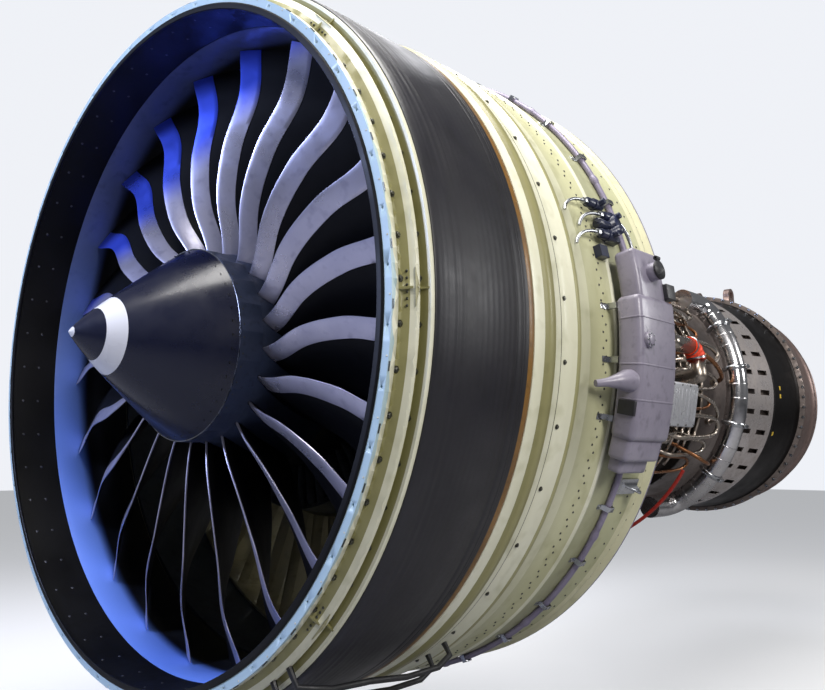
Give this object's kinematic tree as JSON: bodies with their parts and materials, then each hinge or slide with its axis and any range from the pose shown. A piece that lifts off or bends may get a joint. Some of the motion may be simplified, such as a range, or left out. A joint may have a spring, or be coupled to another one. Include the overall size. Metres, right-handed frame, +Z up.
{
  "type": "jet engine",
  "caption": "High-bypass turbofan with composite fan, ribbed and wrapped fan case, hub frame, geared stator ring and turbine core",
  "frame": {"origin": "centre of the front flange's face, on the shaft's axis", "axes": "+Y aft along the shaft, +Z up, +X towards the side with the oil tank"},
  "size_m": [3.8149, 7.29, 3.655],
  "materials": {
    "spinner_paint": "satin",
    "disc_metal": "satin",
    "rotor_metal": "satin",
    "case_primer": "satin",
    "barrel_black": "satin",
    "liner_blue": "satin",
    "wrap_weave": "woven",
    "band_amber": "gloss",
    "acoustic_grey": "matte",
    "fastener_steel": "satin",
    "vane_metal": "satin",
    "frame_metal": "cast",
    "core_metal": "satin",
    "steel": "satin",
    "hot_metal": "heat tinted",
    "panel_metal": "satin",
    "bronze_metal": "heat tinted",
    "tank_paint": "satin",
    "cap_metal": "satin",
    "valve_paint": "satin",
    "conduit_paint": "satin",
    "duct_steel": "polished",
    "silicone": "satin",
    "box_metal": "satin",
    "line_steel": "satin",
    "panel_dark": "satin",
    "mount_metal": "satin",
    "gearbox_metal": "cast",
    "blade_black": "gloss"
  },
  "bodies": {
    "frame": {"front_case": "case_primer", "inlet_barrel": "barrel_black", "rub_liner": "liner_blue", "containment_wrap": "wrap_weave", "wrap_edge_band": "band_amber", "aft_case": "case_primer", "aft_liner": "acoustic_grey", "case_fasteners": "fastener_steel", "guide_vanes": "vane_metal", "hub_frame": "frame_metal", "booster_case": "frame_metal", "compressor_case": "core_metal", "combustor_case": "hot_metal", "fuel_nozzles": "steel", "turbine_case": "hot_metal", "cooling_panels": "panel_metal", "turbine_rear_frame": "hot_metal", "exhaust_ring": "bronze_metal", "exhaust_cone": "bronze_metal", "oil_tank": "tank_paint", "case_brackets": "steel", "valve_cluster": "valve_paint", "conduit_ring": "conduit_paint", "bleed_duct": "duct_steel", "duct_clamps": "steel", "silicone_elbow": "silicone", "control_box": "box_metal", "fluid_lines": "line_steel", "fire_seal_panel": "panel_dark", "forward_mount": "mount_metal", "gearbox": "gearbox_metal"},
    "low_spool": {"fan_disc": "disc_metal", "spinner": "spinner_paint", "lp_rotor": "rotor_metal", "fan_blade_01": "blade_black", "fan_blade_02": "blade_black", "fan_blade_03": "blade_black", "fan_blade_04": "blade_black", "fan_blade_05": "blade_black", "fan_blade_06": "blade_black", "fan_blade_07": "blade_black", "fan_blade_08": "blade_black", "fan_blade_09": "blade_black", "fan_blade_10": "blade_black", "fan_blade_11": "blade_black", "fan_blade_12": "blade_black", "fan_blade_13": "blade_black", "fan_blade_14": "blade_black", "fan_blade_15": "blade_black", "fan_blade_16": "blade_black", "fan_blade_17": "blade_black", "fan_blade_18": "blade_black", "fan_blade_19": "blade_black", "fan_blade_20": "blade_black", "fan_blade_21": "blade_black", "fan_blade_22": "blade_black"},
    "high_spool": {"core_rotor": "rotor_metal"},
    "stator_ring": {"stator_ring": "steel"},
    "actuator_rod": {"actuator_rod": "steel"},
    "filler_cap": {"filler_cap": "cap_metal"}
  },
  "joints": [
    {"name": "low_spool_spin", "type": "hinge", "parent": "frame", "child": "low_spool", "pos_m": [0, 0, 0], "axis": [0, -1, 0], "continuous": true},
    {"name": "high_spool_spin", "type": "hinge", "parent": "frame", "child": "high_spool", "pos_m": [0, 2.1, 0], "axis": [0, -1, 0], "continuous": true},
    {"name": "stator_ring_turn", "type": "hinge", "parent": "frame", "child": "stator_ring", "pos_m": [0, 2.445, 0], "axis": [0, -1, 0], "range_deg": [-3, 3]},
    {"name": "actuator_slide", "type": "slide", "parent": "frame", "child": "actuator_rod", "axis": [0, 0, 1], "range_m": [-0.043, 0.043]},
    {"name": "filler_cap_hinge", "type": "hinge", "parent": "frame", "child": "filler_cap", "pos_m": [1.96375, 1.5125, 0.35667], "axis": [0, -1, 0], "range_deg": [0, 110]}
  ],
  "couplings": [
    {"joint": "actuator_slide", "follows": "stator_ring_turn", "m_per_rad": 0.82}
  ]
}
